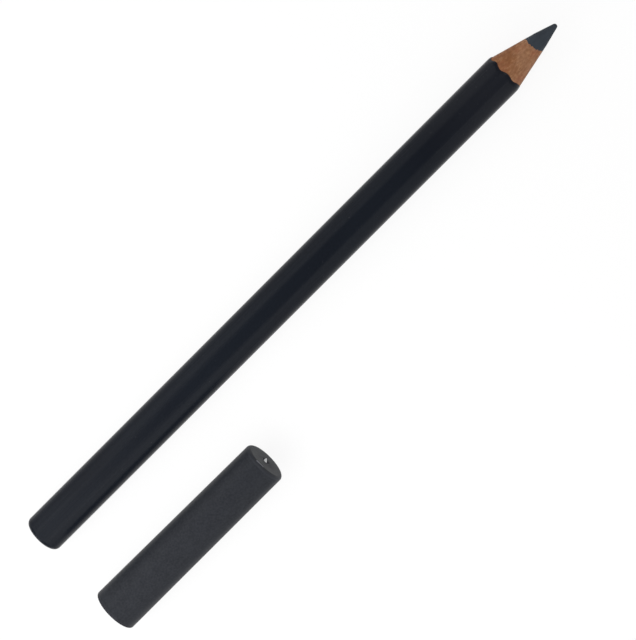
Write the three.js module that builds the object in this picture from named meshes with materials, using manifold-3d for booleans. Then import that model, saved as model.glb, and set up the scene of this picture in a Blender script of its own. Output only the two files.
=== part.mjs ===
// A sharpened wooden kohl pencil with its pull-off cap lying beside it.
// Millimetres, +Z up, both pieces rest on the plane z = 0, and the point looks along +X.
import * as THREE from "three";
import { mergeVertices } from "three/addons/utils/BufferGeometryUtils.js";
import Module from "manifold-3d";

const wasm = await Module();
wasm.setup();
const degrees = THREE.MathUtils.degToRad;

// Driving dimensions of the pencil
const pencilLength = 135.5; // blunt end to point
const barrelDiameter = 7.6;
const coreDiameter = 3.7;
const coreAcross = 0.18; // the core lies this far off the barrel's axis, towards -Y
const coreUp = 0.15; // and this far towards +Z
const lacquerThickness = 0.24; // primer and top coats together
const lacquerWave = 0.12; // the cut edge of the lacquer waves to and fro by this much
const lacquerWaveCount = 7;
const lacquerWaveTurn = degrees(49); // where one wave peaks, from +Y towards +Z
const sealThickness = 1.3; // dipped end over the end grain
const sealRounding = 1.0;
const bondGap = 0.03; // between glued or coated pieces

// Driving dimensions of the sharpened end
const woodHalfAngle = degrees(13.5);
const pointHalfAngle = degrees(16.1); // the soft core wears blunter than the wood
const bendRadius = 1.5; // where the one slope meets the other
const pointRadius = 0.48; // worn tip
const coneSkew = degrees(1.95); // the sharpener cut a little off the barrel's axis, towards -Y
const coneLift = 0.13; // and a little high

// Driving dimensions of the cap
const capLength = 40.6;
const capWall = 0.52; // at the mouth
const capDraft = degrees(0.3);
const capEdgeRounding = 0.75;
const capEndWall = 1.2;
const mouthRounding = 0.3;
const mouthLeadIn = 0.5; // length of the flared mouth of the bore
const mouthFlare = 0.15;
const boreDraft = degrees(0.1);
const gripClearance = 0.03; // between the barrel and the grip ribs
const gripRibCount = 8;
const gripRibHeight = 0.12;
const gripRibWidth = 0.5;
const gripRibInset = 1.5; // from the mouth to the ribs, and from the ribs to the stop fins
const stopFinCount = 4;
const stopFinWidth = 0.8;
const stopFinRadius = 2.9; // the sharpened cone comes to rest on the fins at this radius
const stopFinSlope = 0.6; // length of each fin's sloping front
const pointRoom = 5.0; // free space ahead of the point when the cap is on
const noseWall = 0.75;
const noseRounding = 0.8;
const gateRadius = 0.75;
const gateDepth = 0.25;
const gateNubRadius = 0.32;
const gateNubTopRadius = 0.26;
const gateNubHeight = 0.16;

// Where the cap lies
const capSpacing = 19.1; // between the two axes
const capAhead = 0.2; // from the pencil's blunt end to the cap's mouth

// Fineness of the round surfaces
const turnSegments = 64;
const arcSteps = 6;
const embed = 0.3; // how deep ribs and fins run into the wall that carries them

// Sizes that follow from these
const barrelRadius = barrelDiameter / 2;
const woodRadius = barrelRadius - lacquerThickness;
const coreRadius = coreDiameter / 2;
const woodSlope = Math.tan(woodHalfAngle);
const pointToApex = pointRadius * (1 / Math.sin(pointHalfAngle) - 1);
const bendX = pencilLength + pointToApex - bendRadius / Math.tan(pointHalfAngle);
const woodConeX = (radius) => bendX - (radius - bendRadius) / woodSlope;
const woodEdgeX = woodConeX(woodRadius);
const bodyStartX = sealThickness + bondGap;
const ribRadius = barrelRadius + gripClearance;
const boreRadius = ribRadius + gripRibHeight;
const capMouthRadius = boreRadius + capWall;
const stopToPoint = pencilLength - woodConeX(stopFinRadius);
const stopX = capLength - capEndWall - pointRoom - stopToPoint;

// Helpers

// Points of an arc about (x, r); its angles run from +x towards +r.
function arc(x, r, radius, from, to) {
  return Array.from({ length: arcSteps + 1 }, (_, step) => {
    const angle = from + ((to - from) * step) / arcSteps;
    return [x + radius * Math.cos(angle), r + radius * Math.sin(angle)];
  });
}

function toSolid(geometry) {
  const bare = geometry.clone();
  bare.deleteAttribute("normal");
  bare.deleteAttribute("uv");
  const merged = mergeVertices(bare, 1e-4);
  return new wasm.Manifold(
    new wasm.Mesh({
      numProp: 3,
      vertProperties: merged.attributes.position.array,
      triVerts: new Uint32Array(merged.index.array),
    }),
  );
}

function toGeometry(solid) {
  const { vertProperties, triVerts } = solid.getMesh();
  const geometry = new THREE.BufferGeometry();
  geometry.setAttribute("position", new THREE.BufferAttribute(vertProperties, 3));
  geometry.setIndex(new THREE.BufferAttribute(triVerts, 1));
  geometry.computeVertexNormals();
  return geometry;
}

// A body of revolution about X, from [x, radius] points listed towards +x along its outside.
function turned(profile) {
  const points = profile.map(([x, r]) => new THREE.Vector2(r, x));
  return new THREE.LatheGeometry(points, turnSegments).rotateZ(-Math.PI / 2);
}

function turnedRod(fromX, toX, radius) {
  return turned([
    [fromX, 0],
    [fromX, radius],
    [toX, radius],
    [toX, 0],
  ]);
}

function turnedTube(fromX, toX, innerRadius, outerRadius) {
  return turned([
    [fromX, innerRadius],
    [fromX, outerRadius],
    [toX, outerRadius],
    [toX, innerRadius],
    [fromX, innerRadius],
  ]);
}

// The pencil, along X from its blunt end at 0 to its point

// All that the sharpener leaves standing: a cone with a worn tip, slightly off the barrel's axis
function sharpenedSpace() {
  const reach = barrelDiameter;
  const tipCentre = pencilLength - pointRadius;
  const space = turned([
    [-reach, 0],
    [-reach, reach],
    [woodConeX(reach), reach],
    [bendX, bendRadius],
    ...arc(tipCentre, 0, pointRadius, Math.PI / 2 - pointHalfAngle, 0),
  ]);
  space.translate(-woodEdgeX, 0, 0).rotateZ(-coneSkew).translate(woodEdgeX, 0, coneLift);
  return toSolid(space);
}

// The wooden casing is two grooved slats glued round the core
function casingHalves(space) {
  const rod = toSolid(turnedRod(bodyStartX, pencilLength, woodRadius - bondGap));
  const groove = turnedRod(0, pencilLength + pointToApex, coreRadius + bondGap);
  const casing = rod.subtract(toSolid(groove.translate(0, -coreAcross, coreUp))).intersect(space);
  return {
    upper: casing.trimByPlane([0, 0, 1], bondGap / 2),
    lower: casing.trimByPlane([0, 0, -1], bondGap / 2),
  };
}

function kohlCore(space) {
  const rod = turnedRod(bodyStartX, pencilLength + pointToApex, coreRadius);
  return toSolid(rod.translate(0, -coreAcross, coreUp)).intersect(space);
}

// The lacquer ends in a feathered edge, cut by the sharpener, that waves round the barrel
function lacquerCoat(space) {
  const sleeve = toSolid(turnedTube(bodyStartX, pencilLength, woodRadius, barrelRadius));
  const coat = toGeometry(sleeve.intersect(space));
  const place = coat.attributes.position;
  const barrelMiddle = pencilLength / 2;
  for (let i = 0; i < place.count; i++) {
    if (place.getX(i) > barrelMiddle) {
      const turn = Math.atan2(place.getZ(i), place.getY(i));
      const wave = lacquerWave * Math.cos(lacquerWaveCount * (turn - lacquerWaveTurn));
      place.setX(i, place.getX(i) + wave);
    }
  }
  return toSolid(coat);
}

function endSeal() {
  return toSolid(
    turned([
      [0, 0],
      ...arc(sealRounding, barrelRadius - sealRounding, sealRounding, Math.PI, Math.PI / 2),
      [sealThickness, barrelRadius],
      [sealThickness, 0],
    ]),
  );
}

// The cap, along X from its mouth at 0 to its closed end

const capRadiusAt = (x) => capMouthRadius - x * Math.tan(capDraft);
const boreRadiusAt = (x) => boreRadius - x * Math.tan(boreDraft);
const noseRadiusAt = (x) => capRadiusAt(x) - noseWall;

function capShell() {
  const noseEnd = capLength - capEndWall;
  const endRadius = capRadiusAt(capLength - capEdgeRounding);
  const gateFloor = capLength - gateDepth;
  const boreEnd = stopX - stopFinSlope;
  return toSolid(
    turned([
      [noseEnd, 0],
      ...arc(noseEnd - noseRounding, noseRadiusAt(noseEnd) - noseRounding, noseRounding, 0, Math.PI / 2),
      [stopX, noseRadiusAt(stopX)],
      [boreEnd, boreRadiusAt(boreEnd)],
      [mouthLeadIn, boreRadiusAt(mouthLeadIn)],
      [0, boreRadius + mouthFlare],
      ...arc(mouthRounding, capMouthRadius - mouthRounding, mouthRounding, Math.PI, Math.PI / 2),
      ...arc(capLength - capEdgeRounding, endRadius - capEdgeRounding, capEdgeRounding, Math.PI / 2, 0),
      [capLength, gateRadius],
      [gateFloor, gateRadius - gateDepth],
      [gateFloor, gateNubRadius],
      [gateFloor + gateNubHeight, gateNubTopRadius],
      [gateFloor + gateNubHeight, 0],
    ]),
  );
}

// A flat rib inside the bore: an outline of [x, radius] points, as thick as it is wide, turned about X.
function radialRib(outline, width, turn) {
  const shape = new THREE.Shape(outline.map(([x, r]) => new THREE.Vector2(x, r)));
  const rib = new THREE.ExtrudeGeometry(shape, { depth: width, bevelEnabled: false });
  return toSolid(rib.translate(0, 0, -width / 2).rotateX(turn));
}

function gripRib(turn) {
  const end = stopX - stopFinSlope - gripRibInset;
  const outline = [
    [gripRibInset, boreRadius + embed],
    [gripRibInset, boreRadius],
    [gripRibInset + gripRibHeight, ribRadius],
    [end, ribRadius],
    [end, boreRadius + embed],
  ];
  return radialRib(outline, gripRibWidth, turn);
}

function stopFin(turn) {
  const end = capLength - capEndWall + embed;
  const outline = [
    [stopX - stopFinSlope, boreRadiusAt(stopX) + embed],
    [stopX - stopFinSlope, boreRadiusAt(stopX) - gripRibHeight],
    [stopX, stopFinRadius],
    [end, stopFinRadius],
    [end, noseRadiusAt(end) + embed],
  ];
  return radialRib(outline, stopFinWidth, turn);
}

function capMoulding() {
  let moulding = capShell();
  for (let i = 0; i < gripRibCount; i++) {
    moulding = moulding.add(gripRib(((i + 0.5) * 2 * Math.PI) / gripRibCount));
  }
  for (let i = 0; i < stopFinCount; i++) {
    moulding = moulding.add(stopFin((i * 2 * Math.PI) / stopFinCount));
  }
  return moulding;
}

// Materials
const finishes = {
  wood: new THREE.MeshStandardMaterial({ color: 0x8f6447, roughness: 0.75, metalness: 0 }),
  kohl: new THREE.MeshStandardMaterial({ color: 0x393d43, roughness: 0.6, metalness: 0 }),
  lacquer: new THREE.MeshStandardMaterial({ color: 0x22252b, roughness: 0.4, metalness: 0 }),
  plastic: new THREE.MeshStandardMaterial({ color: 0x373a3e, roughness: 0.6, metalness: 0 }),
};

function piece(name, solid, finish) {
  const mesh = new THREE.Mesh(toGeometry(solid), finish);
  mesh.name = name;
  return mesh;
}

// Assembly: the origin is under the middle of the two pieces together
const space = sharpenedSpace();
const halves = casingHalves(space);
const startX = -pencilLength / 2;
const pencilY = (capSpacing + capMouthRadius - barrelRadius) / 2;

const pencil = new THREE.Group();
pencil.add(
  piece("casing_half_upper", halves.upper, finishes.wood),
  piece("casing_half_lower", halves.lower, finishes.wood),
  piece("kohl_core", kohlCore(space), finishes.kohl),
  piece("lacquer_coat", lacquerCoat(space), finishes.lacquer),
  piece("end_seal", endSeal(), finishes.lacquer),
);
pencil.position.set(startX, pencilY, barrelRadius);

const cap = piece("cap", capMoulding(), finishes.plastic);
cap.position.set(startX + capAhead, pencilY - capSpacing, capMouthRadius);

const kohlPencil = new THREE.Group();
kohlPencil.add(pencil, cap);

export default kohlPencil;
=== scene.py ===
"""A sharpened wooden kohl pencil with its cap beside it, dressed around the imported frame."""

import math

import bmesh
import bpy
import numpy as np
from mathutils import Matrix, Vector, noise


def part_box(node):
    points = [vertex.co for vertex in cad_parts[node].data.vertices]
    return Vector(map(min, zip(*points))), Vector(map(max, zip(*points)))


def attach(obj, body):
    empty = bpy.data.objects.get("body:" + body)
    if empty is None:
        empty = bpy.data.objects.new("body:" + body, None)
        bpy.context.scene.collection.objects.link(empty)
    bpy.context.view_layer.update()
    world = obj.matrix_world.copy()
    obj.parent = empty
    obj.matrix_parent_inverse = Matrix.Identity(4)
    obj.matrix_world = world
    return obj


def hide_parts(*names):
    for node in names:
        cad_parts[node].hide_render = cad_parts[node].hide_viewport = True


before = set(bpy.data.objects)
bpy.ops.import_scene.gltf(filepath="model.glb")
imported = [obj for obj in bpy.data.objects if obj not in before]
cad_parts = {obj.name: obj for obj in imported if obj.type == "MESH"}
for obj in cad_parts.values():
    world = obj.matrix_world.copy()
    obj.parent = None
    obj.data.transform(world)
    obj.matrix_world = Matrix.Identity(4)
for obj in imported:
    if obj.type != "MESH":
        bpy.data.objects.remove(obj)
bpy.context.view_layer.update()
MM = 0.001

# Sizes of the pencil that the frame's boxes don't give, in millimetres
LACQUER_THICKNESS = 0.24
LACQUER_WAVE = 0.12
LACQUER_WAVE_COUNT = 7
LACQUER_WAVE_TURN = math.radians(49)
LACQUER_WAVE_LEAN = 0.8  # how much higher the waves are at that turn, and lower across from it
LACQUER_CHIPS = 0.06  # depth of the chips in the coat's edge
LACQUER_LIP = 0.012  # the coat thins by this much just before its edge
LACQUER_RIPPLE = 0.003
LACQUER_ROLL = 0.8  # share of the coat that rolls off before its torn edge
SEAL_ROUNDING = 1.0
SEAL_CROWN = 0.05
SEAL_ROLL_OFFSET = 0.06  # the rounding starts this many radians off the face
SEAL_RIPPLE = 0.012  # unevenness of the dipped face
SEAL_RIPPLE_END = 0.6  # it is gone this far from the face
SEAL_RIPPLE_FADE = 0.4
HIDDEN_GAP = 0.004  # slats and core stay this far off what covers them
SLAT_SEAM = 0.012  # glue line between the two slats
FEATHER_LENGTH = 0.3  # the slat's thin edge, past the end of its groove
FEATHER_STEP = 0.004
FIBRE_HEIGHT = 0.014
FINE_FIBRE_HEIGHT = 0.008
SHAVING_HEIGHT = 0.006
SHAVING_PITCH = 0.55
CORE_RAGGED = 0.2  # how far the core's edge on the cut wood strays
CORE_TUCK = 0.4  # the plain rod of the core stops this far before that edge
BLADE_HEIGHT = 0.006
BLADE_PITCH = 0.32
SMEAR_HEIGHT = 0.014

# The sharpened end
WOOD_HALF_ANGLE = math.radians(13.5)
POINT_HALF_ANGLE = math.radians(16.1)
BEND_RADIUS = 1.5
POINT_RADIUS = 0.48
CONE_SKEW = math.radians(1.95)
CONE_LIFT = 0.13
CUT_SEARCH = 10  # the cut is looked for from this far before the bare wood
CUT_HALVINGS = 40

# The cap
CAP_DRAFT = math.radians(0.3)
CAP_EDGE_ROUNDING = 0.65
CAP_END_WALL = 1.2
CAP_WALL = 0.52
MOUTH_ROUNDING = 0.3
MOUTH_LEAD_IN = 0.5
MOUTH_FLARE = 0.15
BORE_DRAFT = math.radians(0.1)
GRIP_RIB_COUNT = 8
GRIP_RIB_HEIGHT = 0.12
GRIP_RIB_WIDTH = 0.5
GRIP_RIB_INSET = 1.5
GRIP_RIB_RUN_OUT = 0.3
RIB_FLANK = 0.12  # width of the rounded flank of a rib or fin
STOP_FIN_COUNT = 4
STOP_FIN_WIDTH = 0.8
STOP_FIN_RADIUS = 2.9
STOP_FIN_SLOPE = 0.6
STOP_X = 24.62
NOSE_WALL = 0.75
NOSE_ROUNDING = 0.8
NOSE_FLOOR_RINGS = (1.4, 2.4)
CAP_RIPPLE = 0.004
GATE_RADIUS = 0.75
GATE_DEPTH = 0.25
GATE_EDGE_WIDTH = 0.06  # the bevel round the gate's dimple
GATE_EDGE_DEPTH = 0.02
GATE_SIDE_WIDTH = 0.2  # the dimple's sloping side, down to just above its floor
GATE_SIDE_FOOT = 0.03
GATE_NUB_RADIUS = 0.38
GATE_BLUSH = 2.8  # the moulding is duller round the gate, out to this radius
GATE_BLUSH_STRAY = 0.6
GATE_TEAR_HEIGHT = 0.7  # the torn vestige, from the floor of the gate's dimple
GATE_TEAR_ACROSS = 0.26  # it leans this far to one side
GATE_TEAR_JAG = 0.35
GATE_FOOT = 0.17  # its foot isn't torn, and keeps the plain colour
HIGHLIGHT_LENGTH = 1.7  # a painted highlight line where the rounded rim meets the flat, above the gate
HIGHLIGHT_ACROSS = 0.45
HIGHLIGHT_HEIGHT = 0.3
HIGHLIGHT_BELOW_ROLL = 0.14  # how far the line reaches on to the flat
PAINTED_SHADE_HEIGHT = 0.6  # a painted shade strip on the flat face under the highlight line
STRIP_END_FADE = 0.06
STRIP_SIDE_FADE = 0.04
STRIP_DEPTH = 0.4  # the line and the strip reach no further back than this from the closed end
STRIP_DEPTH_FADE = 0.2
RIM_FILL_LEAD = 0.1  # the rounded rim is painted lighter, as painted fill light, from this far before it
RIM_FILL_FULL = 0.25  # and fully from this far along it
RIM_FILL_FADE = 0.12
RIM_FILL_END = 0.01

# Where the pencil's looks change, in millimetres
WEAR_START = 20  # the lacquer is worn towards the cut, from this far before the bare wood
WEAR_FULL = 4
DRAG_START = 2.2  # kohl is dragged over the wood, from this far before the bend in the cone
DRAG_FULL = 1
PAINTED_LIGHT_SIDE_START = 2.4  # the cut wood is painted paler, as painted light on one side, from here across the pencil to PAINTED_LIGHT_SIDE_END
PAINTED_LIGHT_SIDE_END = -3.0

# Fineness of the meshes
TURN_SEGMENTS = 192
CAP_SEGMENTS = 256

# Floor, light and camera, in metres
FLOOR_SIZE = 30.0
FLOOR_WHITE = 0.95
FLOOR_GLOW = 0.88  # share of pure white in what the camera and the reflections see of the floor
WORLD_GREY = 0.25
CAMERA_DISTANCE = 1.0
CAMERA_TILT = math.radians(15.56)
CAMERA_ROLL = math.radians(44.89)
CAMERA_TARGET = Vector((-0.00254, 0.002215, 0.0))
FOCAL_PIXELS = 5535.6
FRAME_SIDE = 640  # pixels of the photograph's long side
SENSOR = 36.0  # millimetres

# Places from the frame, in metres
lacquer_low, lacquer_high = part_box("lacquer_coat")
seal_low, seal_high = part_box("end_seal")
core_low, core_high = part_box("kohl_core")
cap_low, cap_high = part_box("cap")
pencil_origin = (lacquer_low + lacquer_high) / 2
pencil_origin.x = seal_low.x
cap_origin = (cap_low + cap_high) / 2
cap_origin.x = cap_low.x

# Sizes that follow from the frame, in millimetres from the blunt end or the cap's mouth
barrel_radius = (lacquer_high.z - lacquer_low.z) / 2 / MM
wood_radius = barrel_radius - LACQUER_THICKNESS
core_radius = (core_high.z - core_low.z) / 2 / MM
core_middle = (core_low + core_high) / 2 - pencil_origin
core_axis = np.array(core_middle.yz) / MM
seal_thickness = (seal_high.x - seal_low.x) / MM
pencil_length = (core_high.x - seal_low.x) / MM

wood_slope = math.tan(WOOD_HALF_ANGLE)
point_slope = math.tan(POINT_HALF_ANGLE)
point_apex_x = pencil_length + POINT_RADIUS * (1 / math.sin(POINT_HALF_ANGLE) - 1)
bend_x = point_apex_x - BEND_RADIUS / point_slope
wood_edge_x = bend_x - (wood_radius - BEND_RADIUS) / wood_slope

cap_length = (cap_high.x - cap_low.x) / MM
cap_mouth_radius = (cap_high.z - cap_low.z) / 2 / MM
cap_bore_radius = cap_mouth_radius - CAP_WALL


# Shapes


def ease(value):
    """A smooth step from 0 to 1."""
    t = np.clip(value, 0, 1)
    return t * t * (3 - 2 * t)


def ring_turns(segments):
    """Angles round the axis, from +Y towards +Z."""
    return np.arange(segments) * 2 * math.pi / segments


def ring(x, radius, turn, axis=(0, 0)):
    """Points round an axis along X; x and radius may change with the turn."""
    x, radius, turn = np.broadcast_arrays(x, radius, turn)
    return np.stack([x, axis[0] + radius * np.cos(turn), axis[1] + radius * np.sin(turn)], -1)


def rounded(x, r, radius, start, end, steps=8):
    """Profile points on an arc about (x, r), with angles from +x towards +r."""
    angles = np.linspace(start, end, steps + 1)
    return [(x + radius * math.cos(a), r + radius * math.sin(a)) for a in angles]


def spread(start, end, count):
    """Profile points along a straight line, without its first point."""
    shares = np.linspace(0, 1, count + 1)[1:]
    return [(start[0] + (end[0] - start[0]) * s, start[1] + (end[1] - start[1]) * s) for s in shares]


def grain(x, turn, per_turn, per_mm, seed):
    """Smooth noise on a cylinder, from about -1 to 1."""
    xs, turns = np.broadcast_arrays(x, turn)
    out = np.empty(xs.shape)
    for index, (along, angle) in enumerate(zip(xs.flat, turns.flat)):
        place = (math.cos(angle) * per_turn, math.sin(angle) * per_turn, along * per_mm + seed)
        out.flat[index] = noise.noise(Vector(place))
    return out


def grid_faces(rows, columns, loop_rows=False):
    """Quads over a grid whose columns close on themselves."""
    faces = []
    for i in range(rows if loop_rows else rows - 1):
        low = i * columns
        high = (i + 1) % rows * columns
        for j in range(columns):
            k = (j + 1) % columns
            faces.append((low + j, low + k, high + k, high + j))
    return faces


def mesh_piece(name, rows, origin, sharp, loop_rows=False, end_faces=()):
    """An object from rows of points in millimetres; a row shrunk to a point closes an end."""
    grid = np.array(rows)
    count, columns = grid.shape[:2]
    faces = grid_faces(count, columns, loop_rows) + list(end_faces)
    mesh = bpy.data.meshes.new(name)
    mesh.from_pydata((grid.reshape(-1, 3) * MM).tolist(), [], faces)
    work = bmesh.new()
    work.from_mesh(mesh)
    bmesh.ops.remove_doubles(work, verts=work.verts, dist=1e-8)
    bmesh.ops.dissolve_degenerate(work, edges=work.edges, dist=1e-9)
    bmesh.ops.recalc_face_normals(work, faces=work.faces)
    work.to_mesh(mesh)
    work.free()
    mesh.polygons.foreach_set("use_smooth", [True] * len(mesh.polygons))
    mesh.set_sharp_from_angle(angle=math.radians(sharp))
    piece = bpy.data.objects.new(name, mesh)
    piece.location = origin
    bpy.context.scene.collection.objects.link(piece)
    return piece


# The sharpened cone, which the slats, the core and the lacquer share


def cone_size(x):
    """The cone's radius, with the blunter slope of the soft core near the point."""
    on_wood = BEND_RADIUS + (bend_x - x) * wood_slope
    on_point = (point_apex_x - x) * point_slope
    return np.minimum(on_wood, on_point)


def cone_centre(x):
    """Where the cone's axis is, across and up from the barrel's."""
    across = -(np.asarray(x) - wood_edge_x) * math.tan(CONE_SKEW)
    return np.stack([across, np.full_like(across, CONE_LIFT)], -1)


def cone_meets(radius, turn, axis=(0, 0)):
    """Where along the pencil the cone cuts a round rod of this radius."""
    rod = ring(0.0, radius, turn, axis)[:, 1:]
    low = np.full_like(turn, wood_edge_x - CUT_SEARCH)
    high = np.full_like(turn, pencil_length)
    for _ in range(CUT_HALVINGS):
        middle = (low + high) / 2
        inside = np.linalg.norm(rod - cone_centre(middle), axis=-1) < cone_size(middle)
        low = np.where(inside, middle, low)
        high = np.where(inside, high, middle)
    return (low + high) / 2


def on_cone(points, swell=0.0):
    """Moves points straight out from the cone's axis on to its surface, or a swell above it."""
    centre = cone_centre(points[:, 0])
    out = points[:, 1:] - centre
    length = np.linalg.norm(out, axis=-1)
    size = cone_size(points[:, 0]) + swell
    moved = points.copy()
    moved[:, 1:] = centre + out * (size / length)[:, None]
    return moved


def core_edge(turn):
    """The ragged line where the cut wood ends and the core comes out."""
    still = np.zeros_like(turn)
    ragged = CORE_RAGGED * (0.5 * grain(still, turn, 2.4, 1, 3.7) + grain(still, turn, 6, 1, 1.2))
    x = cone_meets(core_radius, turn, core_axis) + ragged
    return on_cone(ring(x, core_radius, turn, core_axis))


# Pieces of the pencil


def lacquer_sleeve():
    """The lacquer, with its feathered, waving and slightly chipped edge at the cut."""
    turn = ring_turns(TURN_SEGMENTS)
    still = np.zeros_like(turn)
    lean = 1 + LACQUER_WAVE_LEAN * np.cos(turn - LACQUER_WAVE_TURN)
    wave = LACQUER_WAVE * lean * np.cos(LACQUER_WAVE_COUNT * (turn - LACQUER_WAVE_TURN))
    chips = LACQUER_CHIPS * (grain(still, turn, 5, 1, 3.1) + 0.5 * grain(still, turn, 14, 1, 8.4))
    lip_radius = barrel_radius - LACQUER_LIP
    outer_end = cone_meets(lip_radius, turn) + wave + chips
    inner_end = cone_meets(wood_radius, turn) + wave + chips
    rows = [ring(seal_thickness, wood_radius, turn)]
    for share in np.concatenate([np.linspace(0, 0.96, 90), np.linspace(0.962, 1, 24)]):
        x = seal_thickness + share * (outer_end - seal_thickness)
        swell = LACQUER_RIPPLE * (grain(x, turn, 1.2, 0.12, 5.0) - 1)
        thinned = LACQUER_LIP * ease((share - 0.996) / 0.004)
        rows.append(ring(x, barrel_radius + swell - thinned, turn))
    for share in np.linspace(0.1, 0.92, 10):
        x = outer_end + share * (inner_end - outer_end)
        rows.append(ring(x, lip_radius - LACQUER_ROLL * LACQUER_THICKNESS * share**2, turn))
    rows.append(ring(inner_end, wood_radius, turn))
    return mesh_piece("lacquer_sleeve", rows, pencil_origin, sharp=25, loop_rows=True)


def blunt_seal():
    """The dipped end: a slightly crowned face that rolls over into the barrel."""
    turn = ring_turns(TURN_SEGMENTS)
    flat_radius = barrel_radius - SEAL_ROUNDING
    profile = [(0, 0.0)]
    profile += [(SEAL_CROWN * (r / flat_radius) ** 2, r) for r in np.linspace(0.2, flat_radius, 16)]
    roll_x = SEAL_ROUNDING + SEAL_CROWN
    roll_start = math.pi - SEAL_ROLL_OFFSET
    profile += rounded(roll_x, flat_radius, SEAL_ROUNDING, roll_start, math.pi / 2, 16)
    profile += spread(profile[-1], (seal_thickness, barrel_radius), 3)
    profile += [(seal_thickness, wood_radius), (seal_thickness, 0)]
    rows = []
    for x, r in profile:
        keep = ease((SEAL_RIPPLE_END - x) / SEAL_RIPPLE_FADE)
        dip = SEAL_RIPPLE * keep * (1 + grain(r, turn, 1.5 * r / barrel_radius, 0.5, 2.0))
        rows.append(ring(np.minimum(x + dip, seal_thickness), r, turn))
    rows[0][:] = rows[0].mean(0)
    return mesh_piece("blunt_seal", rows, pencil_origin, sharp=40)


def cedar_slat(name, first_turn):
    """One grooved slat: half a tube that the sharpener has cut to a feather edge round the core."""
    seam = SLAT_SEAM / wood_radius
    turn = first_turn + np.linspace(seam, math.pi - seam, TURN_SEGMENTS // 2 + 1)
    cut_start = cone_meets(wood_radius, turn)
    feather = core_edge(turn)
    outside = []
    for share in np.linspace(0, 1, 12):
        x = seal_thickness + share * (cut_start - seal_thickness)
        outside.append(ring(x, wood_radius - HIDDEN_GAP, turn))
    start = ring(cut_start, wood_radius, turn)
    for share in np.linspace(0, 1, 73)[1:]:
        row = start + share * (feather - start)
        x = row[:, 0]
        keep = ease(share / 0.06) * ease((1 - share) / 0.08)
        fibres = FIBRE_HEIGHT * grain(x, turn, 11, 0.25, 4.0)
        fine_fibres = FINE_FIBRE_HEIGHT * grain(x, turn, 30, 0.6, 9.0)
        shavings = SHAVING_HEIGHT * np.sin(2 * math.pi * x / SHAVING_PITCH + 2.5 * np.cos(turn))
        swell = keep * (fibres + fine_fibres + shavings) + FEATHER_STEP * share
        outside.append(on_cone(row, swell))
    rows = []
    for row in outside:
        groove_x = np.minimum(row[:, 0], feather[:, 0] - FEATHER_LENGTH)
        groove = ring(groove_x, core_radius, turn, core_axis)
        if row is outside[-1]:
            groove = feather
        rows.append(np.concatenate([row, groove[::-1]]))
    columns = 2 * len(turn)
    ends = []
    for first in (0, (len(rows) - 1) * columns):
        for j in range(len(turn) - 1):
            ends.append((first + j, first + j + 1, first + columns - 2 - j, first + columns - 1 - j))
    return mesh_piece(name, rows, pencil_origin, sharp=35, end_faces=ends)


def kohl_point():
    """The core, hidden in the slats up to the cut and then shaved to a rounded point."""
    turn = ring_turns(TURN_SEGMENTS)
    edge = core_edge(turn)
    tip_centre_x = pencil_length - POINT_RADIUS
    tip_x = tip_centre_x + POINT_RADIUS * math.sin(POINT_HALF_ANGLE)
    tip = ring(tip_x, POINT_RADIUS * math.cos(POINT_HALF_ANGLE), turn, cone_centre(tip_x))
    rows = [ring(seal_thickness, 0.0, turn, core_axis)]
    for share in np.linspace(0, 1, 8):
        x = seal_thickness + share * (edge[:, 0] - CORE_TUCK - seal_thickness)
        rows.append(ring(x, core_radius - HIDDEN_GAP, turn, core_axis))
    for share in np.linspace(0, 1, 80):
        row = edge + share * (tip - edge)
        x = row[:, 0]
        keep = ease(share / 0.05) * ease((1 - share) / 0.1)
        blade = BLADE_HEIGHT * np.sin(2 * math.pi * x / BLADE_PITCH + 3 * np.cos(turn))
        smears = SMEAR_HEIGHT * grain(x, turn, 2.5, 1.1, 6.0)
        rows.append(on_cone(row, keep * (blade + smears)))
    for angle in np.linspace(math.pi / 2 - POINT_HALF_ANGLE, 0, 14)[1:]:
        x = tip_centre_x + POINT_RADIUS * math.cos(angle)
        rows.append(ring(x, POINT_RADIUS * math.sin(angle), turn, cone_centre(x)))
    return mesh_piece("kohl_point", rows, pencil_origin, sharp=60)


# The cap


def cap_outside(x):
    """The outer radius at this distance from the mouth."""
    return cap_mouth_radius - x * math.tan(CAP_DRAFT)


def cap_bore(x):
    """The radius of the bore that takes the barrel."""
    return cap_bore_radius - x * math.tan(BORE_DRAFT)


def cap_nose(x):
    """The inner radius past the stop fins, round the point."""
    return cap_outside(x) - NOSE_WALL


def rib_shape(turn, count, offset, width, radius):
    """1 on the ribs and 0 between them, with rounded flanks."""
    period = 2 * math.pi / count
    from_middle = np.abs((turn - offset + period / 2) % period - period / 2) * radius
    return ease((width / 2 + RIB_FLANK / 2 - from_middle) / RIB_FLANK)


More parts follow.
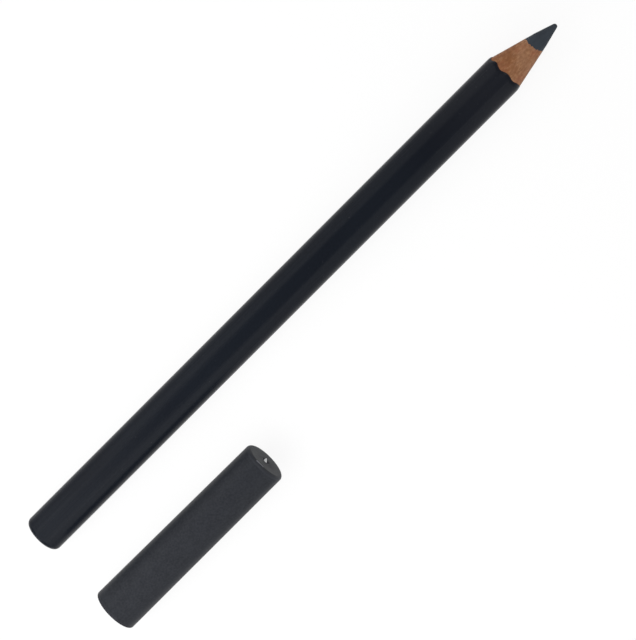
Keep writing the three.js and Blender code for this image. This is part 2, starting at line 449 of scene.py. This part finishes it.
def cap_inside_rows(turn):
    """The inside from its closed end to the mouth, with its stop fins and grip ribs."""
    bore_end = STOP_X - STOP_FIN_SLOPE
    rib_end = bore_end - GRIP_RIB_INSET
    nose_end = cap_length - CAP_END_WALL
    profile = [(nose_end, r) for r in (0.0, *NOSE_FLOOR_RINGS)]
    corner = nose_end - NOSE_ROUNDING
    profile += rounded(corner, cap_nose(nose_end) - NOSE_ROUNDING, NOSE_ROUNDING, 0, math.pi / 2)
    profile += spread(profile[-1], (STOP_X, cap_nose(STOP_X)), 10)
    profile += spread(profile[-1], (bore_end, cap_bore(bore_end)), 6)
    profile += spread(profile[-1], (rib_end, cap_bore(rib_end)), 4)
    profile += spread(profile[-1], (GRIP_RIB_INSET, cap_bore(GRIP_RIB_INSET)), 30)
    profile += spread(profile[-1], (MOUTH_LEAD_IN, cap_bore(MOUTH_LEAD_IN)), 5)
    profile += spread(profile[-1], (0, cap_bore_radius + MOUTH_FLARE), 4)
    rib = rib_shape(turn, GRIP_RIB_COUNT, math.pi / GRIP_RIB_COUNT, GRIP_RIB_WIDTH, cap_bore_radius)
    fin = rib_shape(turn, STOP_FIN_COUNT, 0, STOP_FIN_WIDTH, STOP_FIN_RADIUS)
    rows = []
    for x, r in profile:
        rib_in = ease((x - GRIP_RIB_INSET) / GRIP_RIB_RUN_OUT)
        rib_out = ease((rib_end - x) / GRIP_RIB_RUN_OUT)
        rib_height = GRIP_RIB_HEIGHT * rib_in * rib_out
        fin_height = max(r - STOP_FIN_RADIUS, 0) * ease((x - bore_end) / STOP_FIN_SLOPE)
        rows.append(ring(x, r - rib_height * rib - fin_height * fin, turn))
    return rows


def cap_outside_rows(turn):
    """The drafted outside from the mouth to the closed end, and the torn gate in its dimple."""
    rounding_x = cap_length - CAP_EDGE_ROUNDING
    rounding_r = cap_outside(rounding_x) - CAP_EDGE_ROUNDING
    gate_floor = cap_length - GATE_DEPTH
    rim_r = cap_mouth_radius - MOUTH_ROUNDING
    profile = rounded(MOUTH_ROUNDING, rim_r, MOUTH_ROUNDING, math.pi, math.pi / 2)
    profile += spread(profile[-1], (rounding_x, cap_outside(rounding_x)), 60)
    profile += rounded(rounding_x, rounding_r, CAP_EDGE_ROUNDING, math.pi / 2, 0, 16)[1:]
    profile += spread(profile[-1], (cap_length, GATE_RADIUS + GATE_EDGE_WIDTH), 10)
    profile.append((cap_length - GATE_EDGE_DEPTH, GATE_RADIUS))
    profile.append((gate_floor + GATE_SIDE_FOOT, GATE_RADIUS - GATE_SIDE_WIDTH))
    profile += spread(profile[-1], (gate_floor, GATE_NUB_RADIUS), 3)
    rows = []
    for x, r in profile:
        wander = CAP_RIPPLE * (grain(x, turn, 0.9, 0.06, 1.0) - 1) * ease(r - GATE_RADIUS)
        rows.append(ring(x, r + wander, turn))
    for share in np.linspace(0.1, 1, 9):
        torn = 1 + GATE_TEAR_JAG * share * grain(share, turn, 1.1, 1.0, 7.0)
        torn_x = gate_floor + GATE_TEAR_HEIGHT * share * torn
        torn_r = GATE_NUB_RADIUS * (1 - share**2)
        rows.append(ring(torn_x, torn_r, turn, (GATE_TEAR_ACROSS * share, 0)))
    rows[-1][:] = rows[-1].mean(0)
    return rows


def cap_shell():
    """The moulded cap."""
    turn = ring_turns(CAP_SEGMENTS)
    rows = cap_inside_rows(turn) + cap_outside_rows(turn)
    return mesh_piece("cap_shell", rows, cap_origin, sharp=38)


# Materials


def srgb(red, green, blue):
    """A linear colour from 8-bit display values."""
    shares = np.array([red, green, blue]) / 255
    linear = np.where(shares <= 0.04045, shares / 12.92, ((shares + 0.055) / 1.055) ** 2.4)
    return (*linear.tolist(), 1.0)


class Nodes:
    """A short way to add shader nodes: values are set and sockets are linked."""

    def __init__(self, name):
        self.material = bpy.data.materials.new(name)
        self.material.use_nodes = True
        self.tree = self.material.node_tree
        self.shader = self.tree.nodes["Principled BSDF"]

    def put(self, socket, value):
        """Links a socket, or sets a plain value."""
        if isinstance(value, bpy.types.NodeSocket):
            self.tree.links.new(value, socket)
        else:
            socket.default_value = value

    def add(self, kind, inputs, **settings):
        """A node with these settings, and with its inputs given by name or by place."""
        made = self.tree.nodes.new(kind)
        for key, value in settings.items():
            setattr(made, key, value)
        for key, value in inputs.items():
            self.put(made.inputs[key], value)
        return made

    def place(self, stretch=(1, 1, 1)):
        """Metres from the piece's own origin on its axis, stretched."""
        where = self.add("ShaderNodeTexCoord", {}).outputs["Object"]
        return self.add("ShaderNodeMapping", {"Vector": where, "Scale": stretch}).outputs["Vector"]

    def along(self, axis):
        """One coordinate of the place, in metres."""
        return self.add("ShaderNodeSeparateXYZ", {"Vector": self.place()}).outputs[axis]

    def vector(self, operation, first, second=(0, 0, 0)):
        made = self.add("ShaderNodeVectorMath", {0: first, 1: second}, operation=operation)
        return made.outputs["Vector"]

    def off_axis(self):
        """Distance from the piece's axis, in metres."""
        across = self.vector("MULTIPLY", self.place(), (0, 1, 1))
        return self.add("ShaderNodeVectorMath", {0: across}, operation="LENGTH").outputs["Value"]

    def maths(self, operation, first, second=0.0):
        made = self.add("ShaderNodeMath", {0: first, 1: second}, operation=operation)
        return made.outputs["Value"]

    def noise(self, scale, stretch=(1, 1, 1), detail=2.0, where=None):
        """Cloudy noise; scale is in features per metre where the place isn't stretched."""
        where = where or self.place(stretch)
        made = self.add("ShaderNodeTexNoise", {"Vector": where, "Scale": scale, "Detail": detail})
        return made.outputs["Fac"]

    def ramp(self, factor, low, high, start=0.0, end=1.0):
        """Maps a factor from one range to another, held at both ends."""
        ends = {"Value": factor, "From Min": low, "From Max": high, "To Min": start, "To Max": end}
        return self.add("ShaderNodeMapRange", ends).outputs["Result"]

    def mix(self, factor, first, second):
        """A colour between two others."""
        made = self.add("ShaderNodeMix", {"Factor": factor}, data_type="RGBA")
        first_socket, second_socket = [socket for socket in made.inputs if socket.type == "RGBA"]
        self.put(first_socket, first)
        self.put(second_socket, second)
        return next(socket for socket in made.outputs if socket.type == "RGBA")

    def bump(self, height, distance, strength, under=None):
        """A bumped normal, over another one where it is given; the distance is in metres."""
        inputs = {"Height": height, "Distance": distance, "Strength": strength}
        made = self.add("ShaderNodeBump", inputs)
        if under:
            self.put(made.inputs["Normal"], under)
        return made.outputs["Normal"]

    def surface(self, colour, rough, normal, specular):
        """Gives the shader its inputs, and hands back the material."""
        self.put(self.shader.inputs["Base Color"], colour)
        self.put(self.shader.inputs["Roughness"], rough)
        self.put(self.shader.inputs["Normal"], normal)
        self.put(self.shader.inputs["Specular IOR Level"], specular)
        return self.material


def lacquer_material():
    """Satin blue-black lacquer: wood grain showing through, orange peel, dust, and wear by the cut."""
    n = Nodes("dark_lacquer")
    clouds = n.ramp(n.noise(120, (0.3, 1, 1)), 0.35, 0.65)
    rubs = n.noise(900, (0.02, 1, 1))
    specks = n.ramp(n.noise(2600, detail=1), 0.76, 0.82, 0, 0.4)
    plain = n.mix(clouds, srgb(18, 21, 28), srgb(21, 25, 32))
    worn = n.ramp(n.along("X"), (wood_edge_x - WEAR_START) * MM, (wood_edge_x - WEAR_FULL) * MM)
    tone = n.mix(worn, plain, srgb(27, 29, 35))
    colour = n.mix(specks, tone, srgb(70, 71, 74))
    rough = n.ramp(rubs, 0.3, 0.7, 0.23, 0.29)
    peel = n.bump(n.noise(1500, detail=1.5), 0.00002, 0.2)
    telegraph = n.bump(n.noise(520, (0.05, 1, 1)), 0.00003, 0.15, peel)
    return n.surface(colour, rough, telegraph, 0.065)


def cut_lacquer_material():
    """The last trace of the cut lacquer, with its reddish undercoat."""
    n = Nodes("cut_lacquer")
    layers = n.noise(1800)
    colour = n.mix(n.ramp(layers, 0.4, 0.65), srgb(37, 26, 26), srgb(76, 46, 37))
    return n.surface(colour, 0.7, n.bump(layers, 0.00003, 0.4), 0.2)


def cedar_material():
    """Cut cedar: streaks that run up the cone, pores, flecks, kohl dragged over its inner edge, and
    painted light on one side.
    """
    n = Nodes("casing_wood")
    where = n.place()
    ray = n.vector("NORMALIZE", n.vector("MULTIPLY", where, (0, 1, 1)))
    fan = n.vector("ADD", ray, n.vector("MULTIPLY", where, (70, 0, 0)))
    streaks = n.noise(4.5, detail=4, where=fan)
    fine = n.noise(24, detail=3, where=fan)
    patches = n.noise(330, (0.6, 1, 1))
    pores = n.ramp(n.noise(3200, (0.12, 1, 1), 1), 0.66, 0.74, 0, 0.4)
    flecks = n.noise(2300, (0.65, 1, 1), 4)

    # painted light: the cut wood is painted paler towards -Y
    painted_light_right = n.ramp(n.along("Y"), PAINTED_LIGHT_SIDE_START * MM, PAINTED_LIGHT_SIDE_END * MM, 0, 0.5)
    paler_inside = n.ramp(n.along("X"), wood_edge_x * MM, bend_x * MM, -0.1, 0.25)
    paler_patches = n.ramp(patches, 0.35, 0.7, -0.25, 0.5)
    pale_tone_and_painted_light = n.maths("ADD", n.maths("ADD", painted_light_right, paler_inside), paler_patches)
    base = n.mix(n.ramp(pale_tone_and_painted_light, 0, 1), srgb(139, 90, 55), srgb(176, 137, 106))
    redness = n.ramp(n.noise(560, (0.5, 1, 1), 3), 0.48, 0.68, 0, 0.6)
    reddened = n.mix(redness, base, srgb(161, 100, 73))
    streaked = n.mix(n.ramp(streaks, 0.62, 0.35, 0, 0.5), reddened, srgb(128, 82, 52))
    lined = n.mix(n.ramp(fine, 0.65, 0.35, 0, 0.35), streaked, srgb(117, 78, 53))
    pored = n.mix(pores, lined, srgb(100, 65, 46))
    pale_flecked = n.mix(n.ramp(flecks, 0.5, 0.7, 0, 0.3), pored, srgb(192, 148, 110))
    flecked = n.mix(n.ramp(flecks, 0.5, 0.3, 0, 0.35), pale_flecked, srgb(112, 66, 42))
    near_core = n.ramp(n.along("X"), (bend_x - DRAG_START) * MM, (bend_x - DRAG_FULL) * MM)
    drags = n.ramp(n.noise(1400, (0.5, 1, 1)), 0.45, 0.62, 0, 0.5)
    dragged = n.maths("MULTIPLY", near_core, drags)
    colour = n.mix(dragged, flecked, srgb(72, 67, 65))
    rough = n.ramp(fine, 0.3, 0.7, 0.62, 0.82)
    shaved = n.bump(n.noise(900, (1.6, 0.3, 0.3)), 0.00003, 0.3)
    return n.surface(colour, rough, n.bump(fine, 0.00004, 0.35, shaved), 0.2)


def kohl_material():
    """Matte waxy slate core with blade marks and smears."""
    n = Nodes("kohl_wax")
    smears = n.noise(420, (0.35, 1, 1), 3)
    blade = n.noise(1500, (1, 0.12, 0.12))
    colour = n.mix(n.ramp(smears, 0.32, 0.68), srgb(50, 55, 62), srgb(61, 68, 75))
    rough = n.ramp(blade, 0.3, 0.7, 0.5, 0.68)
    normal = n.bump(blade, 0.00003, 0.35, n.bump(smears, 0.00005, 0.25))
    return n.surface(colour, rough, normal, 0.1)


def painted_light_strip(n, low, high):
    """1 on a short strip across the top of the closed end, between two heights in millimetres; it
    masks the painted highlight line and the painted shade strip.
    """
    off_middle = n.maths("ABSOLUTE", n.maths("SUBTRACT", n.along("Y"), HIGHLIGHT_ACROSS * MM))
    half = HIGHLIGHT_LENGTH / 2
    in_length = n.ramp(off_middle, (half + STRIP_END_FADE) * MM, (half - STRIP_END_FADE) * MM)
    above = n.ramp(n.along("Z"), (low - STRIP_SIDE_FADE) * MM, (low + STRIP_SIDE_FADE) * MM)
    below = n.ramp(n.along("Z"), (high + STRIP_SIDE_FADE) * MM, (high - STRIP_SIDE_FADE) * MM)
    strip_start = cap_length - STRIP_DEPTH
    at_end = n.ramp(n.along("X"), strip_start * MM, (strip_start + STRIP_DEPTH_FADE) * MM)
    in_height = n.maths("MULTIPLY", above, below)
    return n.maths("MULTIPLY", n.maths("MULTIPLY", in_length, at_end), in_height)


def painted_fill_rim(n):
    """1 on the rounded rim of the cap's closed end, where a lighter colour is painted as fill light,
    fading out on its side and before its flat.
    """
    x = n.along("X")
    roll_start = cap_length - CAP_EDGE_ROUNDING
    onto_roll = n.ramp(x, (roll_start - RIM_FILL_LEAD) * MM, (roll_start + RIM_FILL_FULL) * MM)
    off_roll = n.ramp(x, (cap_length - RIM_FILL_FADE) * MM, (cap_length - RIM_FILL_END) * MM, 1, 0)
    return n.maths("MULTIPLY", onto_roll, off_roll)


def cap_material():
    """Matte moulded plastic: fine grain, faint flow lines, a dull gate, a painted lighter rim, a
    painted highlight line and a painted shade strip.
    """
    n = Nodes("cap_plastic")
    clouds = n.ramp(n.noise(90, (0.5, 1, 1)), 0.35, 0.65)
    rubs = n.noise(700, (0.04, 1, 1))
    grains = n.noise(5200, detail=1)
    mottles = n.ramp(n.noise(420, detail=3), 0.35, 0.65)
    highlight_low = cap_outside(cap_length) - CAP_EDGE_ROUNDING - HIGHLIGHT_BELOW_ROLL
    plain = n.mix(clouds, srgb(30, 32, 37), srgb(33, 35, 40))
    mottled = n.mix(mottles, plain, srgb(36, 38, 43))
    grained = n.mix(n.ramp(n.noise(2600), 0.35, 0.65, 0, 0.6), mottled, srgb(45, 47, 52))
    # painted light: the rounded rim, which the lamps leave darker, is painted paler
    rim_fill_painted = n.mix(painted_fill_rim(n), grained, srgb(54, 56, 61))
    # painted shade: a dark strip on the flat just under the painted highlight line
    shade_painted = n.mix(painted_light_strip(n, highlight_low - PAINTED_SHADE_HEIGHT, highlight_low), rim_fill_painted, srgb(16, 18, 21))
    # painted highlight: a pale line along the rim above the gate
    colour = n.mix(painted_light_strip(n, highlight_low, highlight_low + HIGHLIGHT_HEIGHT), shade_painted, srgb(112, 114, 122))
    rough = n.ramp(rubs, 0.3, 0.7, 0.38, 0.44)
    stray = n.ramp(mottles, 0, 1, -GATE_BLUSH_STRAY * MM, GATE_BLUSH_STRAY * MM)
    blush = n.maths("ADD", n.off_axis(), stray)
    sheen = n.ramp(blush, GATE_RADIUS * MM, GATE_BLUSH * MM, 0.045, 0.08)
    normal = n.bump(grains, 0.000015, 0.35, n.bump(rubs, 0.00002, 0.12))
    return n.surface(colour, rough, normal, sheen)


def gate_material():
    """Near-white colour on the torn vestige where the gate was torn off."""
    n = Nodes("gate_break")
    torn = n.noise(6000)
    colour = n.mix(n.ramp(torn, 0.35, 0.65), srgb(205, 207, 210), srgb(240, 240, 240))
    return n.surface(colour, 0.6, n.bump(torn, 0.00003, 0.4), 0.3)


def paint(piece, material, second=None, on_second=None):
    """Gives the piece its material, and a second one to the faces that on_second picks."""
    piece.data.materials.append(material)
    if second:
        piece.data.materials.append(second)
        for polygon in piece.data.polygons:
            polygon.material_index = int(on_second(polygon.center / MM, polygon.normal))


def on_lacquer_cut(place, normal):
    """The torn end of the coat."""
    torn_height = LACQUER_THICKNESS * (1 - LACQUER_ROLL)
    return normal.x > 0.1 and math.hypot(place.y, place.z) < wood_radius + torn_height


def on_gate(place, normal):
    """The torn vestige in the middle of the closed end."""
    reach = GATE_NUB_RADIUS + GATE_TEAR_ACROSS / 2
    return place.x > cap_length - GATE_DEPTH + GATE_FOOT and math.hypot(place.y, place.z) < reach


def dress():
    """Makes every piece with its material, puts it on its body and hides the CAD node that it stands
    for.
    """
    lacquer = lacquer_material()
    cedar = cedar_material()
    sleeve = lacquer_sleeve()
    seal = blunt_seal()
    upper = cedar_slat("cedar_upper", 0.0)
    lower = cedar_slat("cedar_lower", math.pi)
    point = kohl_point()
    shell = cap_shell()
    paint(sleeve, lacquer, cut_lacquer_material(), on_lacquer_cut)
    paint(seal, lacquer)
    paint(upper, cedar)
    paint(lower, cedar)
    paint(point, kohl_material())
    paint(shell, cap_material(), gate_material(), on_gate)
    for piece, body, node, slot in (
        (sleeve, "pencil", "lacquer_coat", "dark_lacquer"),
        (seal, "pencil", "end_seal", "dark_lacquer"),
        (upper, "pencil", "casing_half_upper", "casing_wood"),
        (lower, "pencil", "casing_half_lower", "casing_wood"),
        (point, "pencil", "kohl_core", "kohl_wax"),
        (shell, "cap", "cap", "cap_plastic"),
    ):
        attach(piece, body)
        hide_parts(node)


# Floor, light and camera


def white_floor():
    """A plain white floor that keeps a soft shadow."""
    half = FLOOR_SIZE / 2
    mesh = bpy.data.meshes.new("floor")
    corners = [(-half, -half, 0), (half, -half, 0), (half, half, 0), (-half, half, 0)]
    mesh.from_pydata(corners, [], [(0, 1, 2, 3)])
    floor = bpy.data.objects.new("floor", mesh)
    bpy.context.scene.collection.objects.link(floor)
    n = Nodes("floor")
    n.shader.inputs["Base Color"].default_value = (FLOOR_WHITE, FLOOR_WHITE, FLOOR_WHITE, 1)
    n.shader.inputs["Roughness"].default_value = 0.9
    n.shader.inputs["Specular IOR Level"].default_value = 0.0
    path = n.add("ShaderNodeLightPath", {}).outputs
    mirrored = n.maths("MAXIMUM", path["Is Glossy Ray"], path["Is Transmission Ray"])
    seen = n.maths("MAXIMUM", path["Is Camera Ray"], mirrored)
    glow = n.add("ShaderNodeEmission", {"Color": (1, 1, 1, 1), "Strength": 1.0})
    share = n.maths("MULTIPLY", seen, FLOOR_GLOW)
    shaders = {0: share, 1: n.shader.outputs["BSDF"], 2: glow.outputs["Emission"]}
    both = n.add("ShaderNodeMixShader", shaders)
    n.put(n.tree.nodes["Material Output"].inputs["Surface"], both.outputs["Shader"])
    mesh.materials.append(n.material)


def softbox(name, place, size, watts):
    """A rectangular lamp that looks at the object."""
    lamp = bpy.data.lights.new(name, "AREA")
    lamp.shape = "RECTANGLE"
    lamp.size, lamp.size_y = size
    lamp.energy = watts
    box = bpy.data.objects.new(name, lamp)
    box.location = place
    box.rotation_euler = Vector(place).to_track_quat("Z", "Y").to_euler()
    bpy.context.scene.collection.objects.link(box)


def studio():
    """Low side boxes, three panels by the blunt end, a faint one overhead and a lamp at each end."""
    softbox("left_box", (-0.2, 0.655, 0.345), (0.6, 0.74), 1.55)
    softbox("right_box", (-0.2, -0.67, 0.31), (0.6, 0.66), 1.35)
    softbox("rear_strip", (-0.125, 0.0, 0.12), (0.24, 0.09), 0.212)
    softbox("rear_left", (-0.255, 0.5, 0.29), (0.14, 0.42), 0.27)
    softbox("rear_right", (-0.255, -0.5, 0.29), (0.14, 0.42), 0.27)
    softbox("point_lamp", (0.58, 0.05, 0.78), (0.5, 0.5), 2.65)
    softbox("rear_lamp", (-0.95, 0.05, 0.35), (0.5, 0.4), 2.6)
    softbox("front_strip", (0.05, 0.0, 0.5), (0.26, 0.16), 0.15)
    world = bpy.data.worlds.new("studio")
    world.use_nodes = True
    background = world.node_tree.nodes["Background"]
    background.inputs["Color"].default_value = (WORLD_GREY, WORLD_GREY, WORLD_GREY, 1)
    bpy.context.scene.world = world
    bpy.context.scene.view_settings.view_transform = "Standard"


def photo_camera():
    """Looks down at the pencil from its point's side, with the barrel rising to the upper right."""
    look = Vector((-math.sin(CAMERA_TILT), 0, -math.cos(CAMERA_TILT)))
    along = Vector((math.cos(CAMERA_TILT), 0, -math.sin(CAMERA_TILT)))
    across = Vector((0, 1, 0))
    right = math.cos(CAMERA_ROLL) * along - math.sin(CAMERA_ROLL) * across
    up = math.sin(CAMERA_ROLL) * along + math.cos(CAMERA_ROLL) * across
    camera = bpy.data.cameras.new("camera")
    camera.sensor_width = SENSOR
    camera.lens = FOCAL_PIXELS * SENSOR / FRAME_SIDE
    viewer = bpy.data.objects.new("camera", camera)
    turn = Matrix((right, up, -look)).transposed().to_4x4()
    viewer.matrix_world = Matrix.Translation(CAMERA_TARGET - look * CAMERA_DISTANCE) @ turn
    bpy.context.scene.collection.objects.link(viewer)
    bpy.context.scene.camera = viewer


dress()
white_floor()
studio()
photo_camera()
